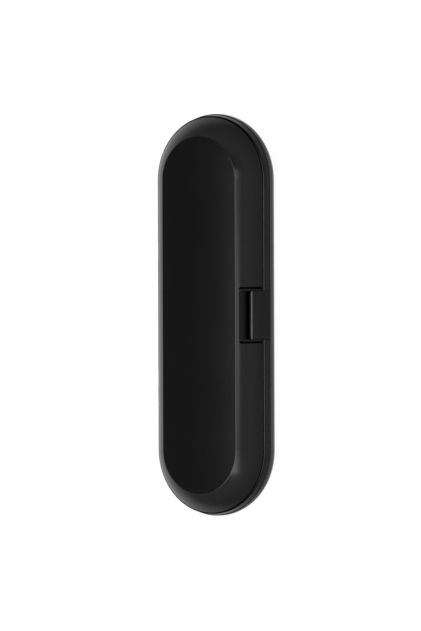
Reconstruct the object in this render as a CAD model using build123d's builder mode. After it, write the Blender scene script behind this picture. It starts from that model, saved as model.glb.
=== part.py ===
"""Travel case for an electric toothbrush: a capsule-shaped clamshell with a press latch.

Millimetres, +Z up. The case lies on the flat of its base. X runs from the hinge side (-X)
to the latch side (+X), Y runs along the case, and the origin is the middle of the flat that
the case rests on. Half-sections are drawn in X and Z from the middle of the case outwards.
"""

import os
from math import atan2, cos, radians, sin, tan

from build123d import *

os.makedirs("parts", exist_ok=True)

# ---- Outside form ----
case_length = 240.0
case_width = 79.0  # at the rim of the base shell
base_height = 16.0  # rim of the base shell, where the frame band begins
base_flat_width = 53.0
base_rim_height = 5.1  # upright wall between the base's shoulder and its rim
base_edge_radius = 4.0  # round the flat
base_side_radius = 6.0  # where the shoulder turns into the wall
band_height = 5.1  # visible band of the frame, between base shell and lid
band_taper = 0.75  # half width lost over the height of the band
rim_step = 0.4  # rim of the base shell beyond the foot of the band
seam_step = 0.6  # top of the band beyond the foot of the lid
lid_face_width = 52.4
lid_shoulder_height = 12.6
lid_crown = 1.1  # rise of the lid's face above its crease
shoulder_bulge = 0.75  # rise of the lid's shoulder above its chord
crease_radius = 0.5
edge_radius = 0.2  # on the edges that meet at the two seams
band_edge_radius = 0.4  # along the top of the band
seam_gap = 0.2  # between frame and lid

# ---- Walls and clearances ----
shell_wall = 1.8
band_wall = 1.8
liner_wall = 1.0
tray_wall = 1.0
fit_gap = 0.3  # between pieces that drop into each other
snug_gap = 0.05  # between pieces that are clipped or glued together
press_gap = 0.02  # round a pin that is held

# ---- Frame ----
tongue_height = 1.5  # lip that stands inside the lid's wall
tongue_tip = 1.0
frame_inner_wall = 1.5
frame_web = 1.5
ledge_width = 4.4
ledge_thickness = 1.5

# ---- Hinges ----
hinge_spacing = 76.0  # between the middles of the two hinges
hinge_inset = 0.8  # pin inside the widest line of the case
hinge_rise = 1.0  # pin above the rim of the base shell
hinge_barrel_radius = 1.9
hinge_pin_radius = 0.75
lid_knuckle_length = 9.0
base_knuckle_length = 7.0
knuckle_gap = 0.25
hinge_swing = 175.0  # opening angle, in degrees
hinge_relief = 0.35  # room round barrels and arms
arm_rise = 1.0  # top of a hinge arm above the foot of the lid
arm_bite = 0.5  # how far its top stands inside the lid's outside

# ---- Latch ----
latch_width = 28.7
latch_side_gap = 0.3  # tab to the ears and cheeks beside it
tab_thickness = 2.0
tab_proud = 0.35  # tab outside the band
tab_foot_gap = 0.3  # tab above the rim of the base shell
tab_knee_rise = 2.3  # bend of the tab above the parting line
tab_taper = 1.7  # half width that the tab loses from its foot to its bend
tab_upper_length = 6.6
tab_upper_lean = 4.88  # degrees that the upper facet is steeper than the lid's shoulder
tab_knee_radius = 2.2
tab_edge_radius = 1.6  # along its free edge
tab_corner_radius = 1.5
latch_pin_depth = 0.81  # below the chord of the lid's shoulder
latch_pin_rise = 1.8  # above the parting line
latch_pin_radius = 0.75
latch_barrel_radius = 1.75
latch_bore_gap = 0.05
lip_reach = 1.2
lip_height = 1.2
bracket_wall = 1.3
bracket_ear = 0.75
ear_drop = 0.25  # ears below the lid's shoulder
floor_room = 0.75  # barrel to the pocket's floor
pocket_floor_lean = 12.88  # degrees that the floor is steeper than the lid's shoulder
pocket_floor_rise = 0.16  # foot of the floor's slope above the latch pin
flange_reach = 4.75  # bracket flange beyond the ears, behind the lid's wall
flange_wall = 1.1
ear_gusset = 1.4  # slope from each ear down to the flange
flange_top_drop = 3.15  # below the top of the lid's window
window_gap = 1.55  # lid's window beyond the ears
window_corner_radius = 1.5
latch_cheek = 3.4  # solid frame beside the latch's notch
notch_floor = 1.4

# ---- Catch and latch spring ----
leaf_width = 12.0
leaf_thickness = 0.3
leaf_foot_rise = 0.9  # above the rim of the base shell
leaf_bend_drop = 0.7  # below the top of the frame
leaf_bend_reach = 0.9
leaf_tip_rise = 1.95
leaf_tip_gap = 0.9  # tip to the inside of the tab's foot
rivet_spacing = 7.0
rivet_rise = 2.6
rivet_radius = 0.6
rivet_head_radius = 1.1
rivet_head_height = 0.4
spring_wire = 0.5
spring_gap = 0.1  # coil round its pin
spring_turns = 7.75  # leaves one leg level and the other upright
spring_pitch = 0.55
spring_room = 0.25  # beyond the coil's ends
bracket_leg = 2.7  # leg that bears on the bracket
tab_leg = 1.6  # leg that bears on the tab

# ---- Tray, with its bay for the handle and its wells for brush heads ----
bay_length = 200.0
bay_margin = 7.3  # between bay and the tray's edge
well_length = 82.0
well_width = 16.0
well_depth = 11.2
well_corner_radius = 4.0
well_floor_radius = 3.0
well_margin = 6.5
well_spacing = 94.0
tray_flange = 1.2
tray_rim_radius = 0.5
tray_screw_inset = 2.2  # from the tray's edge
screw_spacing = 120.0
screw_radius = 1.0
screw_head_radius = 1.9
screw_head_height = 1.2
screw_length = 8.0
screw_hole_depth = 8.0  # in the base shell
column_radius = 2.2
recess_length = 2.4  # of the cross in a screw's head
recess_width = 0.5
recess_depth = 0.6

# ---- Soft pads and head clips ----
cradle_pad_thickness = 1.0
cradle_pad_length = 14.0
cradle_pad_height = 8.0
pad_spacing = 104.0
lid_pad_width = 19.0
lid_pad_drop = 3.4  # ends of a lid pad below the crease of the ceiling
saddle_drop = 0.55  # top of its hollow below the crease of the ceiling
handle_gap = 0.3  # lid pad to a handle lying on the cradle pads
clip_length = 5.0
clip_height = 8.0
clip_neck_radius = 3.2
clip_mouth = 4.8
clip_wall = 1.6

# ---- Derived sizes ----
half_width = case_width / 2
half_straight = (case_length - case_width) / 2
parting_z = base_height + band_height
frame_top_z = parting_z - seam_gap / 2
lid_foot_z = parting_z + seam_gap / 2
lid_half = half_width - rim_step - band_taper - seam_step
face_half = lid_face_width / 2
crease_z = parting_z + lid_shoulder_height
lid_top_z = crease_z + lid_crown
lid_shoulder = atan2(lid_shoulder_height, lid_half - face_half)
base_shoulder_height = base_height - base_rim_height
base_shoulder = atan2(base_shoulder_height, half_width - base_flat_width / 2)
liner_inset = shell_wall + fit_gap

tongue_foot_x = lid_half - shell_wall / sin(lid_shoulder) - fit_gap
tongue_top_x = tongue_foot_x - tongue_height / tan(lid_shoulder)
tongue_top_z = frame_top_z + tongue_height
frame_bore_x = tongue_top_x - tongue_tip
inner_wall_x = frame_bore_x + frame_inner_wall
tray_half = frame_bore_x - fit_gap
tray_top_z = base_height + ledge_thickness + tray_flange

hinge_x = -(half_width - hinge_inset)
hinge_z = base_height + hinge_rise
hinge_ys = (-hinge_spacing / 2, hinge_spacing / 2)
hinge_half = lid_knuckle_length / 2 + knuckle_gap + base_knuckle_length

latch_pin_x = lid_half - latch_pin_rise / tan(lid_shoulder) - latch_pin_depth / sin(lid_shoulder)
latch_pin_z = parting_z + latch_pin_rise
notch_half = latch_width / 2 + latch_side_gap
ear_half = notch_half + bracket_ear
window_half = ear_half + window_gap
flange_half = ear_half + flange_reach
cheek_half = notch_half + latch_cheek
floor_x = latch_pin_x - latch_barrel_radius - floor_room
floor_angle = lid_shoulder + radians(pocket_floor_lean)
outward = (sin(lid_shoulder), cos(lid_shoulder))  # square to the lid's shoulder
uphill = (-cos(lid_shoulder), sin(lid_shoulder))  # along it, towards the crease

bay_floor_z = shell_wall + fit_gap + tray_wall
ceiling_inset = liner_inset + liner_wall + snug_gap
ceiling_crease_z = crease_z - ceiling_inset
handle_top_z = ceiling_crease_z - saddle_drop - handle_gap
handle_radius = (handle_top_z - bay_floor_z - cradle_pad_thickness) / 2
bay_radius = handle_radius + cradle_pad_thickness
bay_x = -(tray_half - bay_margin - bay_radius)
bay_z = bay_floor_z + bay_radius
well_x = tray_half - well_margin - well_width / 2
well_floor_z = tray_top_z - well_depth
screw_x = tray_half - tray_screw_inset


# ---- Outlines ----
def along(start, direction, distance):
    """The point at a distance from start in a direction."""
    return (start[0] + direction[0] * distance, start[1] + direction[1] * distance)


def band_x(z):
    """Half width of the band's outside at a height."""
    return half_width - rim_step - band_taper * (z - base_height) / band_height


def polygon(*corners):
    """A flat shape with straight sides."""
    with BuildSketch() as shape:
        with BuildLine():
            Polyline(*corners, close=True)
        make_face()
    return shape.sketch


def lid_section(inset=0.0):
    """Half of the lid's cross-section down to its foot, drawn in all round by inset."""
    top = (0, lid_top_z - inset)
    crease = (face_half - inset * tan(lid_shoulder / 2), crease_z - inset)
    foot = (lid_half - inset / sin(lid_shoulder), lid_foot_z)
    middle = ((crease[0] + foot[0]) / 2, (crease[1] + foot[1]) / 2)
    with BuildSketch() as section:
        with BuildLine():
            TangentArc(top, crease, tangent=(1, 0))
            ThreePointArc(crease, along(middle, outward, shoulder_bulge), foot)
            Polyline(foot, (0, lid_foot_z), top)
        make_face()
    return section.sketch


def lid_outside():
    """Half-section of the lid's outside, with its crease and foot eased."""
    with BuildSketch() as section:
        add(lid_section())
        fillet(vertices().sort_by_distance((face_half, crease_z))[0], crease_radius)
        fillet(vertices().sort_by_distance((lid_half, lid_foot_z))[0], edge_radius)
    return section.sketch


def base_section(inset=0.0):
    """Half of the base shell's cross-section up to its rim, drawn in all round by inset."""
    flat = (base_flat_width / 2 - inset * tan(base_shoulder / 2), inset)
    rise = inset * tan((radians(90) - base_shoulder) / 2)
    side = (half_width - inset, base_shoulder_height + rise)
    with BuildSketch() as section:
        add(polygon((0, inset), flat, side, (side[0], base_height), (0, base_height)))
        fillet(vertices().sort_by_distance(flat)[0], base_edge_radius)
        fillet(vertices().sort_by_distance(side)[0], base_side_radius - inset)
    return section.sketch


def base_outside():
    """Half-section of the base shell's outside, with its rim eased."""
    with BuildSketch() as section:
        add(base_section())
        fillet(vertices().sort_by_distance((half_width, base_height))[0], edge_radius)
    return section.sketch


def frame_section():
    """Half-section of the frame: band, web, inner wall with the tongue, and ledge."""
    band_foot = (band_x(base_height), base_height)
    band_top = (band_x(frame_top_z), frame_top_z)
    web_z = frame_top_z - frame_web
    ledge_z = base_height + ledge_thickness
    outline = polygon(
        band_foot,
        band_top,
        (tongue_foot_x, frame_top_z),
        (tongue_top_x, tongue_top_z),
        (frame_bore_x, tongue_top_z),
        (frame_bore_x, ledge_z),
        (frame_bore_x - ledge_width, ledge_z),
        (frame_bore_x - ledge_width, base_height),
        (inner_wall_x, base_height),
        (inner_wall_x, web_z),
        (band_x(web_z) - band_wall, web_z),
        (band_foot[0] - band_wall, base_height),
    )
    with BuildSketch() as section:
        add(outline)
        fillet(vertices().sort_by_distance(band_foot)[0], edge_radius)
        fillet(vertices().sort_by_distance(band_top)[0], band_edge_radius)
    return section.sketch


def tray_plate():
    """Half-section of the tray's flange."""
    under_z = tray_top_z - tray_flange
    return polygon((0, under_z), (tray_half, under_z), (tray_half, tray_top_z), (0, tray_top_z))


def hinge_arm(ease=0.0):
    """A lid hinge arm, drawn from its pin: the barrel, drawn out to the foot of the lid."""
    top = lid_foot_z + arm_rise - hinge_z
    wall_outside = (arm_bite - lid_half - hinge_x, top)
    wall_inside = (-tongue_foot_x - 2 * fit_gap - hinge_x, top)
    with BuildSketch() as arm:
        with BuildLine():
            CenterArc((0, 0), hinge_barrel_radius, 0, 360)
            Line(wall_outside, wall_inside)
        make_hull()
        if ease:
            offset(amount=ease)
    return arm.sketch


def stadium(half, mode=Mode.ADD):
    """Carries a half-section round the case: both straight sides and both round ends."""
    with BuildSketch(Plane.XZ) as whole:
        add(half)
        mirror(about=Plane.YZ)
    extrude(whole.sketch, amount=half_straight, both=True, mode=mode)
    for end in (-1, 1):
        with BuildSketch(Plane.XZ.offset(-end * half_straight)) as edge:
            add(half)
        turn = Axis((0, end * half_straight, 0), (0, 0, 1))
        revolve(edge.sketch, axis=turn, revolution_arc=end * 180, mode=mode)


def cross_plane(x=0.0, y=0.0, z=0.0, turn=0.0):
    """A plane square to the case's length, with X out and Z up, turned about Y."""
    angle = radians(turn)
    return Plane(origin=(x, y, z), x_dir=(cos(angle), 0, sin(angle)), z_dir=(0, -1, 0))


def slab(outline, length, plane=cross_plane(), mode=Mode.ADD):
    """A shape drawn out by length both ways from its plane."""
    with BuildSketch(plane) as shape:
        add(outline)
    extrude(shape.sketch, amount=length, both=True, mode=mode)


def rod(plane, radius, length, mode=Mode.ADD):
    """A round rod that reaches length both ways from its plane."""
    with BuildSketch(plane) as shape:
        Circle(radius)
    extrude(shape.sketch, amount=length, both=True, mode=mode)


# ---- Lid shell: window down from the top of the latch's pocket, and an arm for each hinge ----
shoulder_length = (lid_half - face_half) / cos(lid_shoulder)
pocket_foot = (floor_x, latch_pin_z + pocket_floor_rise)
foot_x = pocket_foot[0] - face_half
foot_depth = (crease_z - pocket_foot[1]) * outward[1] - foot_x * outward[0]
pocket_length = (foot_depth - ear_drop) / sin(floor_angle - lid_shoulder)
pocket_top = along(pocket_foot, (-cos(floor_angle), sin(floor_angle)), pocket_length)
window_top = along(pocket_top, outward, ear_drop)
window_plane = Plane(
    origin=(window_top[0], 0, window_top[1]), x_dir=(0, 1, 0), z_dir=(outward[0], 0, outward[1])
)

with BuildPart() as lid_shell:
    stadium(lid_outside())
    stadium(lid_section(shell_wall), mode=Mode.SUBTRACT)
    with BuildSketch(window_plane) as window:
        Rectangle(2 * window_half, 2 * shoulder_length, align=(Align.CENTER, Align.MAX))
        fillet(window.vertices().group_by(Axis.Y)[-1], window_corner_radius)
    extrude(amount=shoulder_length, both=True, mode=Mode.SUBTRACT)
    for y in hinge_ys:
        pin_line = cross_plane(hinge_x, y, hinge_z)
        slab(hinge_arm(), lid_knuckle_length / 2, pin_line)
        rod(pin_line, hinge_pin_radius + snug_gap, lid_knuckle_length, Mode.SUBTRACT)
lid_shell.part.label = "lid_shell"
export_step(lid_shell.part, "parts/lid_shell.step")

# ---- Latch bracket: ears for the pin, pocket floor and a flange behind the lid's wall ----
bracket_top = along(window_top, uphill, -snug_gap)
back_top = along(
    bracket_top, outward, -ear_drop - bracket_wall / cos(floor_angle - lid_shoulder)
)
back_x = floor_x - bracket_wall
back_z = back_top[1] - (back_x - back_top[0]) * tan(floor_angle)
beyond = 2 * half_width  # further out than any piece
flange_inset = shell_wall + snug_gap
flange_depth = flange_inset + flange_wall
flange_top_z = window_top[1] - flange_top_drop
flange_top_x = lid_half - (flange_top_z - lid_foot_z) / tan(lid_shoulder)
flange_top_x -= flange_depth / sin(lid_shoulder)
flange_foot = (lid_half - flange_inset / sin(lid_shoulder), lid_foot_z)
latch_pin_line = cross_plane(latch_pin_x, 0, latch_pin_z)

bracket_back = polygon(
    along(window_top, outward, beyond),
    bracket_top,
    back_top,
    (back_x, back_z),
    (back_x, lid_foot_z),
    (beyond, lid_foot_z),
)
pocket = polygon(
    pocket_top,
    pocket_foot,
    (floor_x, 0),
    (beyond, 0),
    (beyond, beyond),
    (pocket_top[0], beyond),
)

with BuildPart() as latch_bracket:
    with BuildSketch(cross_plane()):
        add(lid_section(ear_drop))
        add(bracket_back, mode=Mode.INTERSECT)
    extrude(amount=ear_half, both=True)
    with BuildSketch(cross_plane()):
        add(lid_section(flange_inset))
        add(lid_section(flange_depth), mode=Mode.SUBTRACT)
        with Locations((flange_top_x, flange_top_z)):
            Rectangle(half_width, half_width, align=(Align.MIN, Align.MAX), mode=Mode.INTERSECT)
    extrude(amount=flange_half, both=True)
    for side in (-1, 1):
        corner_point = (flange_foot[0], side * ear_half, flange_foot[1])
        chamfer(edges().filter_by(GeomType.CIRCLE).sort_by_distance(corner_point)[0], ear_gusset)
    slab(pocket, notch_half, mode=Mode.SUBTRACT)
    rod(latch_pin_line, latch_pin_radius + press_gap, ear_half, Mode.SUBTRACT)
latch_bracket.part.label = "latch_bracket"
export_step(latch_bracket.part, "parts/latch_bracket.step")

# ---- Latch tab: two facets over a barrel, and a lip inside its lower edge ----
tab_foot_z = base_height + tab_foot_gap
tab_knee_z = parting_z + tab_knee_rise
tab_foot = (band_x(tab_foot_z) + tab_proud, tab_foot_z)
tab_knee = (tab_foot[0] - tab_taper, tab_knee_z)
tab_tilt = lid_shoulder + radians(tab_upper_lean)
tab_end = along(tab_knee, (-cos(tab_tilt), sin(tab_tilt)), tab_upper_length)
lower_tilt = atan2(tab_knee_z - tab_foot_z, tab_taper)
half_bend = (lower_tilt - tab_tilt) / 2
knee_normal = (sin(tab_tilt + half_bend), cos(tab_tilt + half_bend))
tab_foot_inside = (tab_foot[0] - tab_thickness / sin(lower_tilt), tab_foot_z)
tab_knee_inside = along(tab_knee, knee_normal, -tab_thickness / cos(half_bend))
tab_end_inside = along(tab_end, (sin(tab_tilt), cos(tab_tilt)), -tab_thickness)
tab_plane = Plane(
    origin=(tab_end[0], 0, tab_end[1]), x_dir=(0, 1, 0), z_dir=(sin(tab_tilt), 0, cos(tab_tilt))
)
lip_top_z = tab_foot_z + lip_height
coil_half = spring_turns * spring_pitch / 2
coil_room = coil_half + spring_wire / 2 + spring_room

tab_lip = polygon(
    tab_foot_inside,
    along(tab_foot_inside, (1, 0), tab_thickness / 2),
    (tab_foot_inside[0] + tab_thickness / 2, lip_top_z),
    (tab_foot_inside[0] - lip_reach, lip_top_z),
    along(tab_foot_inside, (1, 0), -lip_reach / 3),
)

with BuildPart() as latch_tab:
    with BuildSketch(cross_plane()):
        add(
            polygon(
                tab_foot, tab_knee, tab_end, tab_end_inside, tab_knee_inside, tab_foot_inside
            )
        )
        fillet(vertices().sort_by_distance(tab_knee)[0], tab_knee_radius)
        fillet(vertices().sort_by_distance(tab_end)[0], tab_edge_radius)
        add(tab_lip)
        with Locations((latch_pin_x, latch_pin_z)):
            Circle(latch_barrel_radius)
    extrude(amount=latch_width / 2, both=True)
    with BuildSketch(tab_plane) as tab_face:
        Rectangle(latch_width, latch_width, align=(Align.CENTER, Align.MAX))
        fillet(tab_face.vertices().group_by(Axis.Z)[-1], tab_corner_radius)
    extrude(amount=latch_width, both=True, mode=Mode.INTERSECT)
    rod(latch_pin_line, latch_pin_radius + latch_bore_gap, latch_width, Mode.SUBTRACT)
    rod(latch_pin_line, latch_barrel_radius + snug_gap, coil_room, Mode.SUBTRACT)
latch_tab.part.label = "latch_tab"
export_step(latch_tab.part, "parts/latch_tab.step")

# ---- Latch pin and its torsion spring, with one leg on the tab and one on the bracket ----
with BuildPart() as latch_pin:
    rod(latch_pin_line, latch_pin_radius, ear_half - snug_gap)
latch_pin.part.label = "latch_pin"
export_step(latch_pin.part, "parts/latch_pin.step")

coil_radius = latch_pin_radius + spring_gap + spring_wire / 2
coil_start = (latch_pin_x, -coil_half, latch_pin_z)

with BuildPart() as latch_spring:
    with BuildLine() as coil:
        Helix(spring_pitch, 2 * coil_half, coil_radius, center=coil_start, direction=(0, 1, 0))
    with BuildSketch(Plane(origin=coil.line @ 0, z_dir=coil.line % 0)) as first_end:
        Circle(spring_wire / 2)
    sweep(first_end.sketch, path=coil.line, is_frenet=True)
    extrude(first_end.sketch, amount=-bracket_leg)
    with BuildSketch(Plane(origin=coil.line @ 1, z_dir=coil.line % 1)) as last_end:
        Circle(spring_wire / 2)
    extrude(last_end.sketch, amount=tab_leg)
latch_spring.part.label = "latch_spring"
export_step(latch_spring.part, "parts/latch_spring.step")

# ---- Lid liner, cut away behind the latch bracket ----
liner_foot_z = tongue_top_z + fit_gap

with BuildPart() as lid_liner:
    stadium(lid_section(liner_inset))
    stadium(lid_section(liner_inset + liner_wall), mode=Mode.SUBTRACT)
    split(bisect_by=Plane.XY.offset(liner_foot_z), keep=Keep.TOP)
    with BuildSketch(cross_plane()):
        with Locations((min(back_top[0], flange_top_x) - fit_gap, lid_foot_z)):
            Rectangle(half_width, half_width, align=Align.MIN)
    extrude(amount=flange_half + fit_gap, both=True, mode=Mode.SUBTRACT)
lid_liner.part.label = "lid_liner"
export_step(lid_liner.part, "parts/lid_liner.step")

# ---- Base shell: hollow, with screw columns, and room for the hinges to swing ----
screw_places = [(side * screw_x, end * screw_spacing / 2) for side in (-1, 1) for end in (-1, 1)]
screw_places += [(0, end * (half_straight + screw_x)) for end in (-1, 1)]

with BuildPart() as base_hollow:
    stadium(base_section(shell_wall))
    with BuildSketch(Plane.XY.offset(base_height)):
        with Locations(*screw_places):
            Circle(column_radius)
    extrude(amount=-base_height, mode=Mode.SUBTRACT)

with BuildPart() as base_shell:
    stadium(base_outside())
    add(base_hollow.part, mode=Mode.SUBTRACT)
    with BuildSketch(Plane.XY.offset(base_height)):
        with Locations(*screw_places):
            Circle(screw_radius + press_gap)
    extrude(amount=-screw_hole_depth, mode=Mode.SUBTRACT)
    for y in hinge_ys:
        pin_line = cross_plane(hinge_x, y, hinge_z)
        open_line = cross_plane(hinge_x, y, hinge_z, hinge_swing)
        rod(pin_line, hinge_barrel_radius + hinge_relief, hinge_half + knuckle_gap, Mode.SUBTRACT)
        slab(
            hinge_arm(hinge_relief), lid_knuckle_length / 2 + knuckle_gap, open_line, Mode.SUBTRACT
        )
base_shell.part.label = "base_shell"
export_step(base_shell.part, "parts/base_shell.step")

# ---- Frame: the band round the case, with the hinge knuckles and the latch's notch ----
arm_half = lid_knuckle_length / 2 + knuckle_gap
rivet_z = base_height + rivet_rise
notch_floor_z = base_height - notch_floor

with BuildPart() as mid_frame:
    stadium(frame_section())
    with BuildSketch(cross_plane()):
        add(
            polygon(
                (inner_wall_x - snug_gap, notch_floor_z),
                (half_width - shell_wall - fit_gap, notch_floor_z),
                (half_width - shell_wall - fit_gap, base_height),
                (band_x(base_height) - band_wall / 2, base_height),
                (band_x(frame_top_z) - band_wall / 2, frame_top_z),
                (inner_wall_x - snug_gap, frame_top_z),
            )
        )
    extrude(amount=cheek_half, both=True)
    with BuildSketch(Plane.XY.offset(base_height)):
        with Locations((inner_wall_x, 0)):
            Rectangle(half_width, 2 * notch_half, align=(Align.MIN, Align.CENTER))
    extrude(amount=band_height, mode=Mode.SUBTRACT)
    with BuildSketch(Plane.XY.offset(frame_top_z)):
        with Locations((back_x - 2 * fit_gap, 0)):
            Rectangle(half_width, 2 * (flange_half + fit_gap), align=(Align.MIN, Align.CENTER))
    extrude(amount=band_height, mode=Mode.SUBTRACT)
    for y in hinge_ys:
        pin_line = cross_plane(hinge_x, y, hinge_z)
        rod(pin_line, hinge_barrel_radius, hinge_half)
        with BuildSketch(Plane.XY.offset(frame_top_z)):
            with Locations((-tongue_foot_x - fit_gap, y)):
                Rectangle(half_width, 2 * arm_half, align=(Align.MAX, Align.CENTER))
        extrude(amount=-2 * band_height, mode=Mode.SUBTRACT)
        rod(pin_line, hinge_pin_radius + press_gap, hinge_half, Mode.SUBTRACT)
    with BuildSketch(Plane.XY.offset(base_height + ledge_thickness)):
        with Locations(*screw_places):
            Circle(screw_radius + press_gap)
    extrude(amount=-ledge_thickness, mode=Mode.SUBTRACT)
    with BuildSketch(Plane.YZ.offset(frame_bore_x)):
        with Locations((0, rivet_z)):
            with GridLocations(rivet_spacing, 1, 2, 1):
                Circle(rivet_radius + press_gap)
    extrude(amount=frame_inner_wall, mode=Mode.SUBTRACT)
mid_frame.part.label = "mid_frame"
export_step(mid_frame.part, "parts/mid_frame.step")

for end, name in zip(hinge_ys, ("hinge_pin_lower", "hinge_pin_upper")):
    with BuildPart() as hinge_pin:
        rod(cross_plane(hinge_x, end, hinge_z), hinge_pin_radius, hinge_half)
    hinge_pin.part.label = name
    export_step(hinge_pin.part, f"parts/{name}.step")

# ---- Catch: a spring leaf riveted inside the notch, whose tip stands over the tab's lip ----
leaf_tip_x = tab_foot_inside[0] - leaf_tip_gap
leaf_middle_x = inner_wall_x + leaf_thickness / 2
leaf_bend_z = frame_top_z - leaf_bend_drop

with BuildPart() as catch_leaf:
    with BuildSketch(cross_plane()):
        with BuildLine():
            FilletPolyline(
                (leaf_middle_x, base_height + leaf_foot_rise),
                (leaf_middle_x, leaf_bend_z),
                (leaf_middle_x + leaf_bend_reach, leaf_bend_z),
                (leaf_tip_x, base_height + leaf_tip_rise),
                radius=leaf_thickness,
            )
        trace(line_width=leaf_thickness)
    extrude(amount=leaf_width / 2, both=True)
    with BuildSketch(Plane.YZ.offset(inner_wall_x)):
        with Locations((0, rivet_z)):
            with GridLocations(rivet_spacing, 1, 2, 1):
                Circle(rivet_radius + press_gap)
    extrude(amount=leaf_thickness, mode=Mode.SUBTRACT)
catch_leaf.part.label = "catch_leaf"
export_step(catch_leaf.part, "parts/catch_leaf.step")

with BuildPart() as catch_rivets:
    for y in (-rivet_spacing / 2, rivet_spacing / 2):
        with BuildSketch(Plane.YZ.offset(frame_bore_x)):
            with Locations((y, rivet_z)):
                Circle(rivet_radius)
        extrude(amount=frame_inner_wall + leaf_thickness)
        with BuildSketch(Plane.YZ.offset(inner_wall_x + leaf_thickness)):
            with Locations((y, rivet_z)):
                Circle(rivet_head_radius)
        extrude(amount=rivet_head_height)
catch_rivets.part.label = "catch_rivets"
export_step(catch_rivets.part, "parts/catch_rivets.step")

# ---- Tray: a bay for the handle, two wells for brush heads, and a flange on the ledge ----
well_ys = (-well_spacing / 2, well_spacing / 2)
bay_line = Axis((bay_x, 0, bay_z), (0, 1, 0))


def tray_hollows(grow):
    """The bay and the wells as solid shapes up to the tray's top, grown all round by grow."""
    radius = bay_radius + grow
    floor_z = well_floor_z - grow
    with BuildPart() as hollows:
        for y in well_ys:
            with BuildSketch(Plane(origin=(well_x, y, floor_z))):
                RectangleRounded(
                    well_width + 2 * grow, well_length + 2 * grow, well_corner_radius + grow
                )
        extrude(amount=tray_top_z - floor_z)
        fillet(edges().filter_by_position(Axis.Z, floor_z, floor_z), well_floor_radius + grow)
        with BuildSketch(Plane(origin=(bay_x, 0, bay_z))) as half_bay:
            SlotOverall(bay_length + 2 * grow, 2 * radius, rotation=90)
            Rectangle(
                radius, bay_length + 2 * grow, align=(Align.MAX, Align.CENTER), mode=Mode.SUBTRACT
            )
        revolve(half_bay.sketch, axis=bay_line)
        split(bisect_by=Plane.XY.offset(tray_top_z), keep=Keep.BOTTOM)
    return hollows.part


tray_pods = tray_hollows(tray_wall)
tray_rooms = tray_hollows(0)

with BuildPart() as base_tray:
    stadium(tray_plate())
    add(tray_pods)
    add(tray_rooms, mode=Mode.SUBTRACT)
    rims = [wire.edges() for wire in faces().sort_by(Axis.Z)[-1].inner_wires()]
    for rim in rims:
        fillet(rim, tray_rim_radius)
    with BuildSketch(Plane.XY.offset(tray_top_z)):
        with Locations(*screw_places):
            Circle(screw_radius + press_gap)
    extrude(amount=-tray_flange, mode=Mode.SUBTRACT)
base_tray.part.label = "base_tray"
export_step(base_tray.part, "parts/base_tray.step")

# ---- Screws that hold tray and frame down on the base shell's columns ----
with BuildPart() as frame_screws:
    with BuildSketch(Plane.XY.offset(tray_top_z)):
        with Locations(*screw_places):
            Circle(screw_head_radius)
    extrude(amount=screw_head_height)
    with BuildSketch(Plane.XY.offset(tray_top_z)):
        with Locations(*screw_places):
            Circle(screw_radius)
    extrude(amount=-screw_length)
    with BuildSketch(Plane.XY.offset(tray_top_z + screw_head_height)):
        with Locations(*screw_places):
            Rectangle(recess_length, recess_width)
            Rectangle(recess_width, recess_length)
    extrude(amount=-recess_depth, mode=Mode.SUBTRACT)
frame_screws.part.label = "frame_screws"
export_step(frame_screws.part, "parts/frame_screws.step")

# ---- Soft pads: cradles under the handle, and saddles under the lid that hold it down ----
pad_ys = (-pad_spacing / 2, pad_spacing / 2)
lid_pad_foot_z = ceiling_crease_z - lid_pad_drop

for y, name in zip(pad_ys, ("cradle_pad_lower", "cradle_pad_upper")):
    with BuildPart() as cradle_pad:
        with BuildSketch(cross_plane(bay_x, y, bay_z)):
            Circle(bay_radius - snug_gap)
            Circle(handle_radius, mode=Mode.SUBTRACT)
            with Locations((0, cradle_pad_height - bay_radius)):
                Rectangle(
                    2 * bay_radius, bay_radius, align=(Align.CENTER, Align.MAX), mode=Mode.INTERSECT
                )
        extrude(amount=cradle_pad_length / 2, both=True)
    cradle_pad.part.label = name
    export_step(cradle_pad.part, f"parts/{name}.step")

for y, name in zip(pad_ys, ("lid_pad_lower", "lid_pad_upper")):
    with BuildPart() as lid_pad:
        with BuildSketch(Plane(origin=(0, y, 0), x_dir=(-1, 0, 0), z_dir=(0, 1, 0))):
            add(lid_section(ceiling_inset))
            with Locations((-bay_x, lid_pad_foot_z)):
                Rectangle(
                    lid_pad_width, half_width, align=(Align.CENTER, Align.MIN), mode=Mode.INTERSECT
                )
            with Locations((-bay_x, bay_z)):
                Circle(handle_radius + handle_gap, mode=Mode.SUBTRACT)
        extrude(amount=cradle_pad_length / 2, both=True)
    lid_pad.part.label = name
    export_step(lid_pad.part, f"parts/{name}.step")

# ---- Clips on the floors of the wells, which grip the neck of a brush head ----
clip_half = clip_neck_radius + clip_wall
neck_drop = (clip_neck_radius**2 - (clip_mouth / 2) ** 2) ** 0.5

for y, name in zip(well_ys, ("head_clip_lower", "head_clip_upper")):
    with BuildPart() as head_clip:
        with BuildSketch(cross_plane(well_x, y, well_floor_z)):
            Rectangle(2 * clip_half, clip_height, align=(Align.CENTER, Align.MIN))
            with Locations((0, clip_height - neck_drop)):
                Circle(clip_neck_radius, mode=Mode.SUBTRACT)
        extrude(amount=clip_length / 2, both=True)
    head_clip.part.label = name
    export_step(head_clip.part, f"parts/{name}.step")
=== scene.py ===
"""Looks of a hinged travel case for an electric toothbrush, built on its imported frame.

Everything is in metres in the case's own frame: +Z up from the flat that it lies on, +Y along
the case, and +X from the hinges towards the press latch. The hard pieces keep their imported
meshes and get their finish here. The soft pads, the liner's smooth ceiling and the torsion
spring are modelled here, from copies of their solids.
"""

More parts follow.
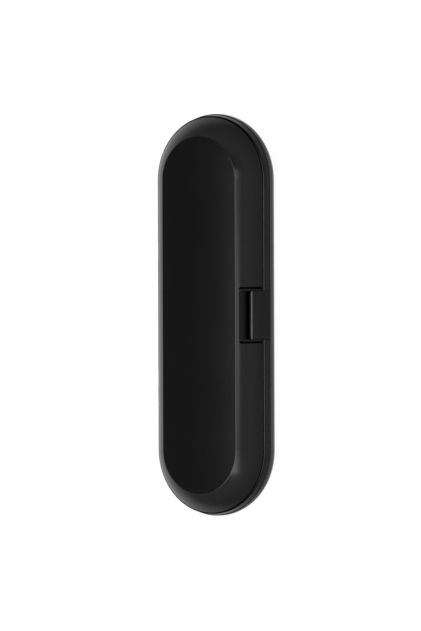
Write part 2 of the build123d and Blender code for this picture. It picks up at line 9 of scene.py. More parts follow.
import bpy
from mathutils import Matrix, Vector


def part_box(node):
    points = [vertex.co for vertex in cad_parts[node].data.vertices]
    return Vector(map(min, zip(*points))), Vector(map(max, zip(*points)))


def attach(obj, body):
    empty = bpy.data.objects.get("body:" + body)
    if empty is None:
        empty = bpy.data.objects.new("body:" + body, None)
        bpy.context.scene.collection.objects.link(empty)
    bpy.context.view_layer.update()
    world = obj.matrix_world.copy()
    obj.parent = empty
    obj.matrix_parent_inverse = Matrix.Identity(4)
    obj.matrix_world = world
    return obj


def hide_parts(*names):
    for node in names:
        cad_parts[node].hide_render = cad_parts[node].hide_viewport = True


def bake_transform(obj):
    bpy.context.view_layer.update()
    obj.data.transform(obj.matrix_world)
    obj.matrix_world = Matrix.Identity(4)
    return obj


bl_info = {
    "name": "Toothbrush Travel Case",
    "version": (1, 0, 0),
    "blender": (4, 5, 0),
    "location": "View3D > Sidebar > Travel Case",
    "description": "Finishes, soft pads and studio for a hinged toothbrush travel case",
    "category": "Object",
}

from math import cos, radians, sin, tan

import bmesh
import bpy
from bpy.props import FloatProperty, FloatVectorProperty, IntProperty, PointerProperty
from mathutils import Matrix, Vector

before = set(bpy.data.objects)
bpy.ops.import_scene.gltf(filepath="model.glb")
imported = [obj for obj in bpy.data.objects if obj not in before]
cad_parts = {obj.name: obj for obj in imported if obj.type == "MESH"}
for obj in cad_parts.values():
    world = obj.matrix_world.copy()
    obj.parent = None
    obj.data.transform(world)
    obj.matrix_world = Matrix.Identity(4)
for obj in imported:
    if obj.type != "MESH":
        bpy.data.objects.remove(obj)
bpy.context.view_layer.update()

MM = 0.001

# ---- Places on the case ----
TONGUE_RISE = 1.5 * MM  # of the frame's tongue above its band
SEAM_GAP = 0.2 * MM  # between the frame's band and the lid
PARTING_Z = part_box("mid_frame")[1].z - TONGUE_RISE + SEAM_GAP / 2
SEAM_DROP = 0.4 * MM  # from there down to the middle of the painted shade line
SEAM_FULL = 0.6 * MM  # half the height of that line where it is darkest
SEAM_FADE = 0.85 * MM  # half its height with its soft edges
SEAM_START, SEAM_END = 0.6, 0.95  # it comes in between these shares of the half length
# Painted shade on the floor of the latch's pocket, behind the tab:
POCKET_LEAN = radians(60.2)  # of the latch pocket's floor, from level
POCKET_FLOOR = 39.68 * MM  # from the origin to that floor, square to it
POCKET_FULL = 0.2 * MM  # what lies this near to the floor belongs to it
POCKET_FADE = 0.4 * MM  # what lies this far off doesn't
POCKET_TOP, POCKET_DEEP = 8.9 * MM, 6.0 * MM  # the painted shade comes in between these heights, over the parting plane

# ---- Real sizes of the patterns in the materials ----
HANDLED_PATCH = 40 * MM  # polished by hands, on the shells
LINING_DRIFT = 25 * MM  # slow change of sheen on the grey mouldings
DUST_PATCH = 3 * MM  # dust held by the foam rubber
FOAM_CELL = 0.25 * MM  # closed cells in its skin
METAL_MARK = 0.2 * MM  # marks and crystals on the metals, drawn coarse enough to show

# ---- Looks that stay the same whatever a user changes ----
SPECULAR_PLAIN = 0.5  # what the IOR gives by itself
SPECULAR_PAINTED_SHADE = 0.03  # specular level where shade is painted into a gap on the shells
GLOSS_SPREAD = 0.03  # roughness of a handled patch, less or more than the middle
WALL_TOP = radians(30)  # over the horizon, where the studio's walls are at their brightest
CEILING_OUTER, CEILING_INNER = radians(58), radians(42)  # from overhead: walls, then ceiling
FLOOR_HALF = 20.0  # half the side of the paper, in metres
FLOOR_DROP = 0.02 * MM  # of the paper below the case
LAMP_POWER = 4  # of an area lamp, for each unit of its area and radiance

# ---- Modelling limits ----
MERGE = 0.01 * MM  # corners nearer than this are one
SHARP = radians(30)  # faces that meet at more than this show an edge
FLAT = radians(1)  # faces that meet at less than this are one
PAD_EDGE = radians(25)  # edges of a pad that are sharper than this get soft
HOLLOW_TILT = 0.2  # least upright share of the normal on a pad's hollow face
ROUNDING = 1e-9  # how far below nothing a product may come out by rounding

BLACK_SHELLS = ("lid_shell", "mid_frame", "base_shell", "latch_tab")
GREY_MOULDINGS = ("base_tray", "head_clip_upper", "head_clip_lower")
HINGE_PINS = ("hinge_pin_upper", "hinge_pin_lower")
CATCH = ("catch_leaf", "catch_rivets")
CRADLE_PADS = ("cradle_pad_upper", "cradle_pad_lower")
LID_PADS = ("lid_pad_upper", "lid_pad_lower")


def linear(hex_colour):
    """An sRGB hex colour as linear red, green, blue and alpha."""
    channels = [int(hex_colour[i : i + 2], 16) / 255 for i in (0, 2, 4)]
    return [c / 12.92 if c <= 0.04045 else ((c + 0.055) / 1.055) ** 2.4 for c in channels] + [1.0]


# ---- Sizes and colours that a user would change ----
def colour(name, description, hex_colour):
    """A colour property with an sRGB hex default."""
    return FloatVectorProperty(
        name=name,
        description=description,
        subtype="COLOR",
        size=4,
        min=0.0,
        max=1.0,
        default=linear(hex_colour),
    )


class CaseFinish(bpy.types.PropertyGroup):
    """Colours and surface of the case's pieces."""

    shell: colour("Shell", "Black plastic of shells, frame and latch", "0C0C0D")
    shell_worn: colour("Shell, handled", "The same plastic where hands polish it", "0F0F10")
    shell_gloss: FloatProperty(
        name="Shell roughness",
        description="Roughness of the satin shells",
        subtype="FACTOR",
        min=0.0,
        max=1.0,
        default=0.21,
    )
    shell_grain: FloatProperty(
        name="Shell grain",
        description="Size of the spark-eroded grain on the shells",
        unit="LENGTH",
        min=0.0001,
        default=0.35 * MM,
    )
    # Painted shade: a near-black painted into the parting line at the ends and on the latch
    # pocket's floor
    painted_shade: colour("Shell, deep", "The same plastic in the parting line and pocket", "020202")
    lining: colour("Lining", "Dark grey plastic of tray, liner and clips", "35373A")
    lining_grain: FloatProperty(
        name="Lining grain",
        description="Size of the coarser grain on tray and liner",
        unit="LENGTH",
        min=0.0001,
        default=0.6 * MM,
    )
    rubber: colour("Pads", "Foam rubber of the pads", "242527")
    steel: colour("Steel", "Bright steel of the hinge pins", "C4C5C7")
    spring_steel: colour("Spring steel", "Tempered steel of catch and torsion spring", "8C8F94")
    black_oxide: colour("Black oxide", "Blackened steel of the latch's pin", "1C1C1E")
    zinc: colour("Zinc", "Zinc plating on the screws", "B9BDC2")


class CasePads(bpy.types.PropertyGroup):
    """Sizes of the foam-rubber pads."""

    grooves: IntProperty(
        name="Grooves",
        description="Grooves across the face of each pad",
        min=1,
        default=4,
    )
    groove_width: FloatProperty(
        name="Groove width",
        description="Width of one groove",
        unit="LENGTH",
        default=1.2 * MM,
    )
    groove_depth: FloatProperty(
        name="Groove depth",
        description="Depth of one groove",
        unit="LENGTH",
        default=0.4 * MM,
    )
    groove_slope: FloatProperty(
        name="Groove slope",
        description="How far a groove's sides lean in",
        unit="LENGTH",
        default=0.25 * MM,
    )
    soft_edge: FloatProperty(
        name="Soft edge",
        description="Radius on the edges of the rubber",
        unit="LENGTH",
        default=0.18 * MM,
    )
    fill: FloatProperty(
        name="Fill",
        description="How tight the pads are, where 1 is solid foam rubber",
        subtype="FACTOR",
        min=0.0,
        max=1.0,
        default=1.0,
    )


class CaseStage(bpy.types.PropertyGroup):
    """Camera, floor and lights."""

    view_lean: FloatProperty(
        name="Camera lean",
        description="How far the camera leans from overhead towards the latch",
        subtype="ANGLE",
        unit="ROTATION",
        default=radians(34.21),
    )
    view_pitch: FloatProperty(
        name="Camera pitch",
        description="How far the camera leans along the case",
        subtype="ANGLE",
        unit="ROTATION",
        default=radians(0.55),
    )
    view_roll: FloatProperty(
        name="Camera roll",
        description="Turn of the camera about its own axis",
        subtype="ANGLE",
        unit="ROTATION",
        default=radians(0.19),
    )
    view_distance: FloatProperty(
        name="Camera distance",
        description="From the middle of the parting plane to the camera",
        unit="LENGTH",
        default=6.885,
    )
    view_aside: FloatProperty(
        name="Camera offset, across",
        description="How far the case stands to the right of the picture's middle",
        unit="LENGTH",
        default=0.23 * MM,
    )
    view_along: FloatProperty(
        name="Camera offset, along",
        description="How far the case stands above the picture's middle",
        unit="LENGTH",
        default=0.32 * MM,
    )
    frame_height: FloatProperty(
        name="Frame height",
        description="Real height that the picture spans at the middle of the case",
        unit="LENGTH",
        default=376.8 * MM,
    )
    floor: colour("Floor", "White paper under the case", "F4F4F4")
    floor_share: FloatProperty(
        name="Burnt-out floor",
        description="How far the picture shows the floor as plain white instead of lit paper",
        subtype="FACTOR",
        min=0.0,
        max=1.0,
        default=0.9,
    )
    floor_glare: FloatProperty(
        name="Floor glare",
        description="Brightness of the burnt-out floor",
        min=0.0,
        default=1.05,
    )
    pool_level: FloatProperty(
        name="Pool of light",
        description="Brightness that the case's sides mirror from the floor right beside them",
        min=0.0,
        default=1.15,
    )
    pool_ends: FloatProperty(
        name="Pool of light, ends",
        description="Share of that brightness that is left round the ends of the case",
        subtype="FACTOR",
        min=0.0,
        max=1.0,
        default=0.5,
    )
    pool_edge: FloatProperty(
        name="Pool of light, outside",
        description="Brightness that they mirror from the floor further away",
        min=0.0,
        default=0.27,
    )
    pool_reach: FloatProperty(
        name="Pool of light, reach",
        description="Distance from the case over which the floor's brightness falls",
        unit="LENGTH",
        default=26 * MM,
    )
    # Painted light: no card stands in the scene; its light is painted into the floor's glow in
    # reflections.
    painted_card_glow: FloatProperty(
        name="Card light",
        description="Brightness that a white card on the hinge side adds to the floor there",
        min=0.0,
        default=0.38,
    )
    painted_card_glow_reach: FloatProperty(
        name="Card light, reach",
        description="Distance from the case over which the card's light falls away",
        unit="LENGTH",
        default=400 * MM,
    )
    key_height: FloatProperty(
        name="Softbox height",
        description="Height of the overhead softbox above the floor",
        unit="LENGTH",
        default=1.4,
    )
    key_from: FloatProperty(
        name="Softbox, near edge",
        description="Angle from overhead at which it begins, on the hinge side if negative",
        subtype="ANGLE",
        unit="ROTATION",
        default=radians(-19),
    )
    key_to: FloatProperty(
        name="Softbox, far edge",
        description="Angle from overhead at which it ends, on the latch side",
        subtype="ANGLE",
        unit="ROTATION",
        default=radians(43),
    )
    key_start: FloatProperty(
        name="Softbox, lower end",
        description="Where the softbox begins along the case",
        unit="LENGTH",
        default=-1.5,
    )
    key_end: FloatProperty(
        name="Softbox, upper end",
        description="Where the softbox ends along the case",
        unit="LENGTH",
        default=0.6,
    )
    key_radiance: FloatProperty(
        name="Softbox brightness",
        description="Brightness of its face, where white paper is 1",
        min=0.0,
        default=2.25,
    )
    wall_level: FloatProperty(
        name="Wall brightness",
        description="Brightness of the studio's walls, where white paper is 1",
        min=0.0,
        default=0.42,
    )
    horizon_level: FloatProperty(
        name="Horizon brightness",
        description="Brightness of the studio's walls down at the floor",
        min=0.0,
        default=0.2,
    )
    ceiling_level: FloatProperty(
        name="Ceiling brightness",
        description="Brightness of the studio's dark ceiling",
        min=0.0,
        default=0.03,
    )


# ---- Meshes and materials ----
def add_node(tree, kind, inputs=None, **settings):
    """Adds a node, sets its settings, and gives each named input a value or a link."""
    node = tree.nodes.new(kind)
    for name, value in settings.items():
        setattr(node, name, value)
    for name, value in (inputs or {}).items():
        if isinstance(value, bpy.types.NodeSocket):
            tree.links.new(value, node.inputs[name])
        else:
            node.inputs[name].default_value = value
    return node


def new_material(name):
    """An empty material with its tree, ready for its shader."""
    material = bpy.data.materials.new(name)
    material.use_nodes = True
    material.node_tree.nodes.clear()
    return material, material.node_tree


def satin_abs(name, finish, mask):
    """Black ABS moulded in a spark-eroded tool, then handled for years.

    The fine grain, drawn coarser than the real one so that it shows, breaks the reflection of a
    lamp into a soft sheen without hiding where it is, and hands have polished broad patches a
    little smoother. Where the mask is 1, in a gap, shade is painted: the colour goes almost
    black and the specular level drops, so that hardly any light comes back.
    """
    material, tree = new_material(name)
    place = add_node(tree, "ShaderNodeTexCoord").outputs["Object"]
    patches = add_node(
        tree, "ShaderNodeTexNoise", {"Vector": place, "Scale": 1 / HANDLED_PATCH, "Detail": 2.0}
    ).outputs["Fac"]
    grain = add_node(
        tree,
        "ShaderNodeTexNoise",
        {"Vector": place, "Scale": 1 / finish.shell_grain, "Detail": 3.0, "Roughness": 0.6},
    ).outputs["Fac"]
    # Painted shade: the mask is 1 where shade is painted into the colour and the specular level
    painted_shade = mask(tree, place)
    handled = add_node(
        tree,
        "ShaderNodeMix",
        {"Factor": patches, "A": finish.shell, "B": finish.shell_worn},
        data_type="RGBA",
    )
    tint = add_node(
        tree,
        "ShaderNodeMix",
        {"Factor": painted_shade, "A": handled.outputs["Result"], "B": finish.painted_shade},
        data_type="RGBA",
    )
    gloss = add_node(
        tree,
        "ShaderNodeMapRange",
        {"Value": painted_shade, "To Min": SPECULAR_PLAIN, "To Max": SPECULAR_PAINTED_SHADE},
    )
    sheen = add_node(
        tree,
        "ShaderNodeMapRange",
        {
            "Value": patches,
            "To Min": finish.shell_gloss + GLOSS_SPREAD,
            "To Max": finish.shell_gloss - GLOSS_SPREAD,
        },
    )
    relief = add_node(
        tree, "ShaderNodeBump", {"Height": grain, "Strength": 0.12, "Distance": 0.01 * MM}
    )
    shader = add_node(
        tree,
        "ShaderNodeBsdfPrincipled",
        {
            "Base Color": tint.outputs["Result"],
            "Roughness": sheen.outputs["Result"],
            "IOR": 1.5,
            "Specular IOR Level": gloss.outputs["Result"],
            "Normal": relief.outputs["Normal"],
        },
    )
    add_node(tree, "ShaderNodeOutputMaterial", {"Surface": shader.outputs["BSDF"]})
    return material


def near_level(tree, value, level, full, fade):
    """One where a value is within full of a level, falling to nothing at fade from it."""
    rise = add_node(
        tree, "ShaderNodeMath", {0: value, 1: level}, operation="SUBTRACT"
    ).outputs[0]
    off = add_node(tree, "ShaderNodeMath", {0: rise}, operation="ABSOLUTE").outputs[0]
    return add_node(
        tree,
        "ShaderNodeMapRange",
        {"Value": off, "From Min": fade, "From Max": full},
        interpolation_type="SMOOTHSTEP",
    ).outputs["Result"]


def pocket_shade_mask(tree, place):
    """One on the floor of the latch's pocket where it goes down behind the tab: painted shade."""
    facing = (sin(POCKET_LEAN), 0.0, cos(POCKET_LEAN))
    out = add_node(
        tree, "ShaderNodeVectorMath", {0: place, 1: facing}, operation="DOT_PRODUCT"
    ).outputs["Value"]
    floor = near_level(tree, out, POCKET_FLOOR, full=POCKET_FULL, fade=POCKET_FADE)
    axes = add_node(tree, "ShaderNodeSeparateXYZ", {"Vector": place}).outputs
    depth = add_node(
        tree,
        "ShaderNodeMapRange",
        {
            "Value": axes["Z"],
            "From Min": PARTING_Z + POCKET_TOP,
            "From Max": PARTING_Z + POCKET_DEEP,
        },
    ).outputs["Result"]
    return add_node(tree, "ShaderNodeMath", {0: floor, 1: depth}, operation="MULTIPLY").outputs[0]


def seam_shade_mask(tree, place):
    """One along the parting line at the two ends of the case: painted shade, where least light
    gets in.
    """
    half_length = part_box("base_shell")[1].y
    axes = add_node(tree, "ShaderNodeSeparateXYZ", {"Vector": place}).outputs
    line = near_level(tree, axes["Z"], PARTING_Z - SEAM_DROP, full=SEAM_FULL, fade=SEAM_FADE)
    along = add_node(tree, "ShaderNodeMath", {0: axes["Y"]}, operation="ABSOLUTE").outputs[0]
    ends = add_node(
        tree,
        "ShaderNodeMapRange",
        {
            "Value": along,
            "From Min": SEAM_START * half_length,
            "From Max": SEAM_END * half_length,
        },
        interpolation_type="SMOOTHSTEP",
    ).outputs["Result"]
    return add_node(tree, "ShaderNodeMath", {0: line, 1: ends}, operation="MULTIPLY").outputs[0]


def grained_pp(finish):
    """Dark grey polypropylene from a coarsely etched tool: dull, with a grain that can be felt."""
    material, tree = new_material("grained_grey_polypropylene")
    place = add_node(tree, "ShaderNodeTexCoord").outputs["Object"]
    grain = add_node(
        tree,
        "ShaderNodeTexVoronoi",
        {"Vector": place, "Scale": 1 / finish.lining_grain},
        feature="SMOOTH_F1",
    ).outputs["Distance"]
    drift = add_node(
        tree, "ShaderNodeTexNoise", {"Vector": place, "Scale": 1 / LINING_DRIFT, "Detail": 2.0}
    ).outputs["Fac"]
    sheen = add_node(tree, "ShaderNodeMapRange", {"Value": drift, "To Min": 0.5, "To Max": 0.6})
    relief = add_node(
        tree, "ShaderNodeBump", {"Height": grain, "Strength": 0.35, "Distance": 0.04 * MM}
    )
    shader = add_node(
        tree,
        "ShaderNodeBsdfPrincipled",
        {
            "Base Color": finish.lining,
            "Roughness": sheen.outputs["Result"],
            "IOR": 1.49,
            "Normal": relief.outputs["Normal"],
        },
    )
    add_node(tree, "ShaderNodeOutputMaterial", {"Surface": shader.outputs["BSDF"]})
    return material


def foam_rubber(finish):
    """Moulded foam rubber: dull, with fine closed cells in its skin that hold a little dust."""
    material, tree = new_material("moulded_foam_rubber")
    place = add_node(tree, "ShaderNodeTexCoord").outputs["Object"]
    dust = add_node(
        tree, "ShaderNodeTexNoise", {"Vector": place, "Scale": 1 / DUST_PATCH, "Detail": 4.0}
    ).outputs["Fac"]
    skin = add_node(
        tree, "ShaderNodeTexNoise", {"Vector": place, "Scale": 1 / FOAM_CELL, "Detail": 2.0}
    ).outputs["Fac"]
    matt = add_node(tree, "ShaderNodeMapRange", {"Value": dust, "To Min": 0.62, "To Max": 0.78})
    relief = add_node(
        tree, "ShaderNodeBump", {"Height": skin, "Strength": 0.2, "Distance": 0.02 * MM}
    )
    shader = add_node(
        tree,
        "ShaderNodeBsdfPrincipled",
        {
            "Base Color": finish.rubber,
            "Roughness": matt.outputs["Result"],
            "IOR": 1.5,
            "Sheen Weight": 0.15,
            "Sheen Roughness": 0.4,
            "Normal": relief.outputs["Normal"],
        },
    )
    add_node(tree, "ShaderNodeOutputMaterial", {"Surface": shader.outputs["BSDF"]})
    return material


def metal(name, base, smooth, rough, streak):
    """A bare or plated metal whose roughness follows fine marks from smooth to rough.

    The streak scales the marks along the case: at 1 they are round, and below that drawn out.
    """
    material, tree = new_material(name)
    place = add_node(tree, "ShaderNodeTexCoord").outputs["Object"]
    drawn = add_node(tree, "ShaderNodeMapping", {"Vector": place, "Scale": (1.0, streak, 1.0)})
    marks = add_node(
        tree,
        "ShaderNodeTexNoise",
        {"Vector": drawn.outputs["Vector"], "Scale": 1 / METAL_MARK, "Detail": 3.0},
    ).outputs["Fac"]
    wear = add_node(
        tree, "ShaderNodeMapRange", {"Value": marks, "To Min": smooth, "To Max": rough}
    )
    relief = add_node(
        tree, "ShaderNodeBump", {"Height": marks, "Strength": 0.1, "Distance": 0.01 * MM}
    )
    shader = add_node(
        tree,
        "ShaderNodeBsdfPrincipled",
        {
            "Base Color": base,
            "Metallic": 1.0,
            "Roughness": wear.outputs["Result"],
            "Normal": relief.outputs["Normal"],
        },
    )
    add_node(tree, "ShaderNodeOutputMaterial", {"Surface": shader.outputs["BSDF"]})
    return material


def merged_copy(node):
    """A bmesh of a CAD node's shape, with its loose triangles joined."""
    shape = bmesh.new()
    shape.from_mesh(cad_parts[node].data)
    bmesh.ops.remove_doubles(shape, verts=shape.verts, dist=MERGE)
    return shape


def new_piece(name, shape, material, node):
    """Makes a shape a smooth piece that stands for its CAD node."""
    mesh = bpy.data.meshes.new(name)
    shape.to_mesh(mesh)
    shape.free()
    mesh.materials.append(material)
    mesh.shade_smooth()
    mesh.set_sharp_from_angle(angle=SHARP)
    piece = bpy.data.objects.new(name, mesh)
    bpy.context.scene.collection.objects.link(piece)
    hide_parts(node)
    return piece


def paint(names, material):
    """Gives CAD nodes a finish in place of their packed one."""
    for name in names:
        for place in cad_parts[name].material_slots:
            place.material = material


# ---- Operators ----
class TRAVELCASE_OT_shells(bpy.types.Operator):
    """Finish the lid, the frame, the base and the latch in satin black ABS"""

    bl_idname = "travelcase.shells"
    bl_label = "Shells"

    def execute(self, context):
        finish = context.scene.case_finish
        # Painted shade along the parting line at the two ends of the case.
        paint(BLACK_SHELLS, satin_abs("satin_black_abs_seam_shade", finish, seam_shade_mask))
        # Painted shade on the pocket's floor behind the tab.
        paint(["latch_bracket"], satin_abs("satin_black_abs_pocket_shade", finish, pocket_shade_mask))
        return {"FINISHED"}


class TRAVELCASE_OT_lining(bpy.types.Operator):
    """Finish the tray, the liner and the head clips in grained grey polypropylene"""

    bl_idname = "travelcase.lining"
    bl_label = "Tray and liner"

    def execute(self, context):
        plastic = grained_pp(context.scene.case_finish)
        paint(GREY_MOULDINGS, plastic)
        # The liner is shaded afresh, so that its ceiling is smooth where the end arcs meet.
        shape = merged_copy("lid_liner")
        bmesh.ops.recalc_face_normals(shape, faces=shape.faces)
        liner = new_piece("moulded_liner", shape, plastic, "lid_liner")
        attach(liner, "lid")
        smooth = liner.modifiers.new("even_shading", "WEIGHTED_NORMAL")
        smooth.keep_sharp = True
        return {"FINISHED"}


class TRAVELCASE_OT_steelwork(bpy.types.Operator):
    """Finish pins, springs, rivets and screws in their metals"""

    bl_idname = "travelcase.steelwork"
    bl_label = "Pins, springs and screws"

    def execute(self, context):
        finish = context.scene.case_finish
        # Drawn bar: bright, with marks along its length.
        drawn = metal("drawn_stainless_steel", finish.steel, smooth=0.18, rough=0.3, streak=0.1)
        paint(HINGE_PINS, drawn)
        # The same bar, blackened so that it doesn't glint beside the black tab.
        oxide = metal("black_oxide_steel", finish.black_oxide, smooth=0.35, rough=0.5, streak=0.1)
        paint(["latch_pin"], oxide)
        # Tempered strip and wire: darker, with a dull oxide film.
        tempered = metal(
            "tempered_spring_steel", finish.spring_steel, smooth=0.25, rough=0.4, streak=0.3
        )
        paint(CATCH, tempered)
        self.wind_spring(tempered)
        # Zinc over pressed steel: pale and cloudy.
        plated = metal("zinc_plated_steel", finish.zinc, smooth=0.3, rough=0.45, streak=1.0)
        paint(["frame_screws"], plated)
        return {"FINISHED"}

    def wind_spring(self, steel):
        """The torsion spring, shaded afresh from a copy of its solid."""
        shape = merged_copy("latch_spring")
        bmesh.ops.recalc_face_normals(shape, faces=shape.faces)
        spring = new_piece("torsion_spring", shape, steel, "latch_spring")
        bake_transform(spring)


class TRAVELCASE_OT_pads(bpy.types.Operator):
    """Model the grooved foam pads that the handle lies on and that hold it from above"""

    bl_idname = "travelcase.pads"
    bl_label = "Pads"

    def execute(self, context):
        rubber = foam_rubber(context.scene.case_finish)
        for name in CRADLE_PADS + LID_PADS:
            body = "base" if name in CRADLE_PADS else "lid"
            self.mould(name, body, rubber, context.scene.case_pads)
        return {"FINISHED"}

    def mould(self, node, body, rubber, pads):
        """A copy of the pad's solid, grooved on its hollow side and softened at its edges."""
        lower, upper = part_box(node)
        shape = merged_copy(node)
        bmesh.ops.dissolve_limit(
            shape, angle_limit=FLAT, verts=shape.verts, edges=shape.edges
        )

        pitch = (upper.y - lower.y) / (pads.grooves + 1)
        middles = [lower.y + pitch * (count + 1) for count in range(pads.grooves)]
        for middle in middles:
            for side in (-0.5, 0.5):
                bmesh.ops.bisect_plane(
                    shape,
                    geom=shape.verts[:] + shape.edges[:] + shape.faces[:],
                    plane_co=(0, middle + side * pads.groove_width, 0),
                    plane_no=(0, 1, 0),
                )
        hollow = 1.0 if node in CRADLE_PADS else -1.0  # upwards in the base, downwards in the lid
        reach = 0.5 * pads.groove_width
        shape.normal_update()
        for middle in middles:
            strip = [
                face
                for face in shape.faces
                if abs(face.calc_center_median().y - middle) < reach
                and self.is_hollow(face, hollow, lower, upper)
            ]
            bmesh.ops.inset_region(
                shape,
                faces=strip,
                thickness=pads.groove_slope,
                depth=-pads.groove_depth,
                use_even_offset=True,
                use_boundary=True,
            )
        sharp = [edge for edge in shape.edges if edge.calc_face_angle(0.0) > PAD_EDGE]
        bmesh.ops.bevel(
            shape,
            geom=sharp,
            offset=pads.soft_edge,
            segments=3,
            profile=0.5,
            affect="EDGES",
            material=-1,
            clamp_overlap=True,
        )
        bmesh.ops.recalc_face_normals(shape, faces=shape.faces)
        pad = new_piece(f"rubber_{node}", shape, rubber, node)
        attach(pad, body)

    def is_hollow(self, face, hollow, lower, upper):
        """Whether a face lies on the arc that the handle touches."""
        centre = face.calc_center_median()
        middle = (lower.x + upper.x) / 2
        leans_in = face.normal.x * (middle - centre.x) >= -ROUNDING
        return face.normal.z * hollow > HOLLOW_TILT and leans_in


class TRAVELCASE_OT_stage(bpy.types.Operator):
    """Set the floor, the lights, the room around and the camera"""

    bl_idname = "travelcase.stage"
    bl_label = "Stage"

    def execute(self, context):
        stage = context.scene.case_stage
        self.lay_floor(stage)
        self.light(stage)
        self.fill_room(context.scene, stage)
        self.set_camera(context.scene, stage)
        return {"FINISHED"}

    def lay_floor(self, stage):
        """White paper, mostly shown as plain white, which keeps a faint shadow of the case."""
        mesh = bpy.data.meshes.new("floor")
        shape = bmesh.new()
        bmesh.ops.create_grid(shape, x_segments=1, y_segments=1, size=FLOOR_HALF)
        # A hair below the case, so that the two faces don't flicker through each other.
        bmesh.ops.translate(shape, vec=(0, 0, -FLOOR_DROP), verts=shape.verts)
        shape.to_mesh(mesh)
        shape.free()
        floor = bpy.data.objects.new("floor", mesh)
        bpy.context.scene.collection.objects.link(floor)

        material, tree = new_material("white_seamless_paper")
        path = add_node(tree, "ShaderNodeLightPath").outputs
        paper = add_node(tree, "ShaderNodeBsdfDiffuse", {"Color": stage.floor, "Roughness": 0.5})
        glare = add_node(
            tree, "ShaderNodeEmission", {"Color": linear("FFFFFF"), "Strength": stage.floor_glare}
        )
        seen = add_node(
            tree,
            "ShaderNodeMixShader",
            {0: stage.floor_share, 1: paper.outputs["BSDF"], 2: glare.outputs["Emission"]},
        )
        # Painted light: to reflections the paper glows, brightest beside the case and on the hinge
        # side.
        pool = add_node(
            tree,
            "ShaderNodeEmission",
            {"Color": linear("FFFFFF"), "Strength": self.pool_of_light(tree, stage)},
        )
        mirrored = add_node(
            tree,
            "ShaderNodeMixShader",
            {
                0: path["Is Glossy Ray"],
                1: paper.outputs["BSDF"],
                2: pool.outputs["Emission"],
            },
        )
        mixed = add_node(
            tree,
            "ShaderNodeMixShader",
            {
                0: path["Is Camera Ray"],
                1: mirrored.outputs["Shader"],
                2: seen.outputs["Shader"],
            },
        )
        # The paper's back is clear, so that the underside of the case can be looked at.
        back = add_node(tree, "ShaderNodeNewGeometry").outputs["Backfacing"]
        clear = add_node(tree, "ShaderNodeBsdfTransparent")
        sheet = add_node(
            tree,
            "ShaderNodeMixShader",
            {0: back, 1: mixed.outputs["Shader"], 2: clear.outputs["BSDF"]},
        )
        add_node(tree, "ShaderNodeOutputMaterial", {"Surface": sheet.outputs["Shader"]})
        floor.data.materials.append(material)

    def pool_of_light(self, tree, stage):
        """Painted light: a glow that falls with the distance from the case, for reflections in its
        sides.
        """
        lower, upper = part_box("base_shell")
        half_width = (upper.x - lower.x) / 2
        half_straight = (upper.y - lower.y) / 2 - half_width
        place = add_node(tree, "ShaderNodeTexCoord").outputs["Object"]
        axes = add_node(tree, "ShaderNodeSeparateXYZ", {"Vector": place}).outputs
        along = add_node(tree, "ShaderNodeMath", {0: axes["Y"]}, operation="ABSOLUTE").outputs[0]
        beyond = add_node(
            tree, "ShaderNodeMath", {0: along, 1: half_straight}, operation="SUBTRACT"
        ).outputs[0]
        beyond = add_node(
            tree, "ShaderNodeMath", {0: beyond, 1: 0.0}, operation="MAXIMUM"
        ).outputs[0]
        offset = add_node(tree, "ShaderNodeCombineXYZ", {"X": axes["X"], "Y": beyond}).outputs[0]
        distance = add_node(
            tree, "ShaderNodeVectorMath", {0: offset}, operation="LENGTH"
        ).outputs["Value"]
        middle = add_node(
            tree,
            "ShaderNodeMapRange",
            {
                "Value": beyond,
                "From Max": half_width,
                "To Min": stage.pool_level,
                "To Max": stage.pool_level * stage.pool_ends,
            },
        ).outputs["Result"]
        near = add_node(
            tree,
            "ShaderNodeMapRange",
            {
                "Value": distance,
                "From Min": half_width,
                "From Max": half_width + stage.pool_reach,
                "To Min": middle,
                "To Max": stage.pool_edge,
            },
            interpolation_type="SMOOTHERSTEP",
        ).outputs["Result"]
        far = add_node(
            tree,
            "ShaderNodeMapRange",
            {
                "Value": distance,
                "From Min": half_width,
                "From Max": half_width + stage.painted_card_glow_reach,
                "To Min": stage.painted_card_glow,
                "To Max": 0.0,
            },
        ).outputs["Result"]
        side = add_node(
            tree,
            "ShaderNodeMapRange",
            {"Value": axes["X"], "From Min": half_width, "From Max": -half_width},
        ).outputs["Result"]
        return add_node(
            tree, "ShaderNodeMath", {0: far, 1: side, 2: near}, operation="MULTIPLY_ADD"
        ).outputs[0]

    def light(self, stage):
        """A softbox overhead, drawn out along the case."""
        near, far = (stage.key_height * tan(angle) for angle in (stage.key_from, stage.key_to))
        data = bpy.data.lights.new("softbox", "AREA")
        data.shape = "RECTANGLE"
        data.size = far - near
        data.size_y = stage.key_end - stage.key_start
        data.energy = LAMP_POWER * stage.key_radiance * data.size * data.size_y
        softbox = bpy.data.objects.new("softbox", data)
        middle = (stage.key_start + stage.key_end) / 2
        softbox.location = ((near + far) / 2, middle, stage.key_height)
        bpy.context.scene.collection.objects.link(softbox)

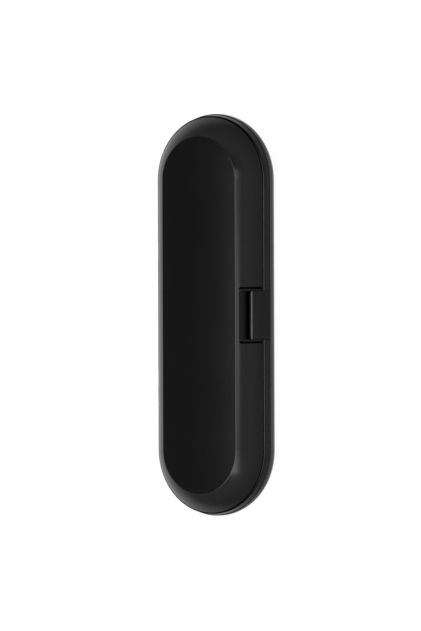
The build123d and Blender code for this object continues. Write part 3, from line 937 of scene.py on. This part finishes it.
    def fill_room(self, scene, stage):
        """A studio whose ceiling is dark and whose walls are pale, so that tops stay black."""
        world = bpy.data.worlds.new("studio")
        scene.world = world
        world.use_nodes = True
        tree = world.node_tree
        tree.nodes.clear()
        heading = add_node(tree, "ShaderNodeTexCoord").outputs["Generated"]
        axes = add_node(tree, "ShaderNodeSeparateXYZ", {"Vector": heading}).outputs
        walls = add_node(
            tree,
            "ShaderNodeMapRange",
            {
                "Value": axes["Z"],
                "From Max": sin(WALL_TOP),
                "To Min": stage.horizon_level,
                "To Max": stage.wall_level,
            },
        ).outputs["Result"]
        ceiling = add_node(
            tree,
            "ShaderNodeMapRange",
            {
                "Value": axes["Z"],
                "From Min": cos(CEILING_OUTER),
                "From Max": cos(CEILING_INNER),
            },
            interpolation_type="SMOOTHSTEP",
        ).outputs["Result"]
        level = add_node(
            tree, "ShaderNodeMix", {"Factor": ceiling, "A": walls, "B": stage.ceiling_level}
        ).outputs["Result"]
        room = add_node(tree, "ShaderNodeBackground", {"Strength": level})
        white = add_node(tree, "ShaderNodeBackground", {"Strength": 1.0})
        for background in (room, white):
            background.inputs["Color"].default_value = linear("FFFFFF")
        path = add_node(tree, "ShaderNodeLightPath")
        mixed = add_node(
            tree,
            "ShaderNodeMixShader",
            {
                0: path.outputs["Is Camera Ray"],
                1: room.outputs["Background"],
                2: white.outputs["Background"],
            },
        )
        add_node(tree, "ShaderNodeOutputWorld", {"Surface": mixed.outputs["Shader"]})

    def set_camera(self, scene, stage):
        """A long lens, leant over the latch side, aimed at the middle of the parting plane."""
        lean, pitch, roll = stage.view_lean, stage.view_pitch, stage.view_roll
        right = Vector((cos(lean), 0, -sin(lean)))
        back = Vector((sin(lean), 0, cos(lean)))
        along = Vector((0, 1, 0))
        up = along * cos(pitch) - back * sin(pitch)
        back = along * sin(pitch) + back * cos(pitch)
        right, up = right * cos(roll) - up * sin(roll), right * sin(roll) + up * cos(roll)

        data = bpy.data.cameras.new("camera")
        data.sensor_fit = "AUTO"
        data.sensor_width = 36.0
        data.lens = data.sensor_width * stage.view_distance / stage.frame_height
        data.clip_end = 4 * stage.view_distance
        camera = bpy.data.objects.new("camera", data)
        scene.collection.objects.link(camera)
        middle = Vector((0, 0, PARTING_Z))
        aside = right * stage.view_aside + up * stage.view_along
        place = middle + back * stage.view_distance - aside
        turn = Matrix((right, up, back)).transposed()
        camera.matrix_world = Matrix.Translation(place) @ turn.to_4x4()
        scene.camera = camera


class TRAVELCASE_PT_panel(bpy.types.Panel):
    """Everything that the travel case is dressed with"""

    bl_label = "Travel Case"
    bl_idname = "TRAVELCASE_PT_panel"
    bl_space_type = "VIEW_3D"
    bl_region_type = "UI"
    bl_category = "Travel Case"

    def draw(self, context):
        layout = self.layout
        scene = context.scene
        for group in (scene.case_finish, scene.case_pads, scene.case_stage):
            box = layout.box()
            for name in group.bl_rna.properties.keys():
                if name not in ("rna_type", "name"):
                    box.prop(group, name)
        for operator in OPERATORS:
            layout.operator(operator.bl_idname)


OPERATORS = (
    TRAVELCASE_OT_shells,
    TRAVELCASE_OT_lining,
    TRAVELCASE_OT_steelwork,
    TRAVELCASE_OT_pads,
    TRAVELCASE_OT_stage,
)
CLASSES = (CaseFinish, CasePads, CaseStage) + OPERATORS + (TRAVELCASE_PT_panel,)


def register():
    """Adds the classes and hangs their settings on the scene."""
    for cls in CLASSES:
        bpy.utils.register_class(cls)
    bpy.types.Scene.case_finish = PointerProperty(type=CaseFinish)
    bpy.types.Scene.case_pads = PointerProperty(type=CasePads)
    bpy.types.Scene.case_stage = PointerProperty(type=CaseStage)


def unregister():
    """Takes them away again."""
    del bpy.types.Scene.case_stage
    del bpy.types.Scene.case_pads
    del bpy.types.Scene.case_finish
    for cls in reversed(CLASSES):
        bpy.utils.unregister_class(cls)


def main():
    """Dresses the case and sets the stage."""
    register()
    bpy.ops.travelcase.shells()
    bpy.ops.travelcase.lining()
    bpy.ops.travelcase.steelwork()
    bpy.ops.travelcase.pads()
    bpy.ops.travelcase.stage()
    bpy.context.scene.view_settings.view_transform = "Standard"
    bpy.context.view_layer.update()


if __name__ == "__main__":
    main()
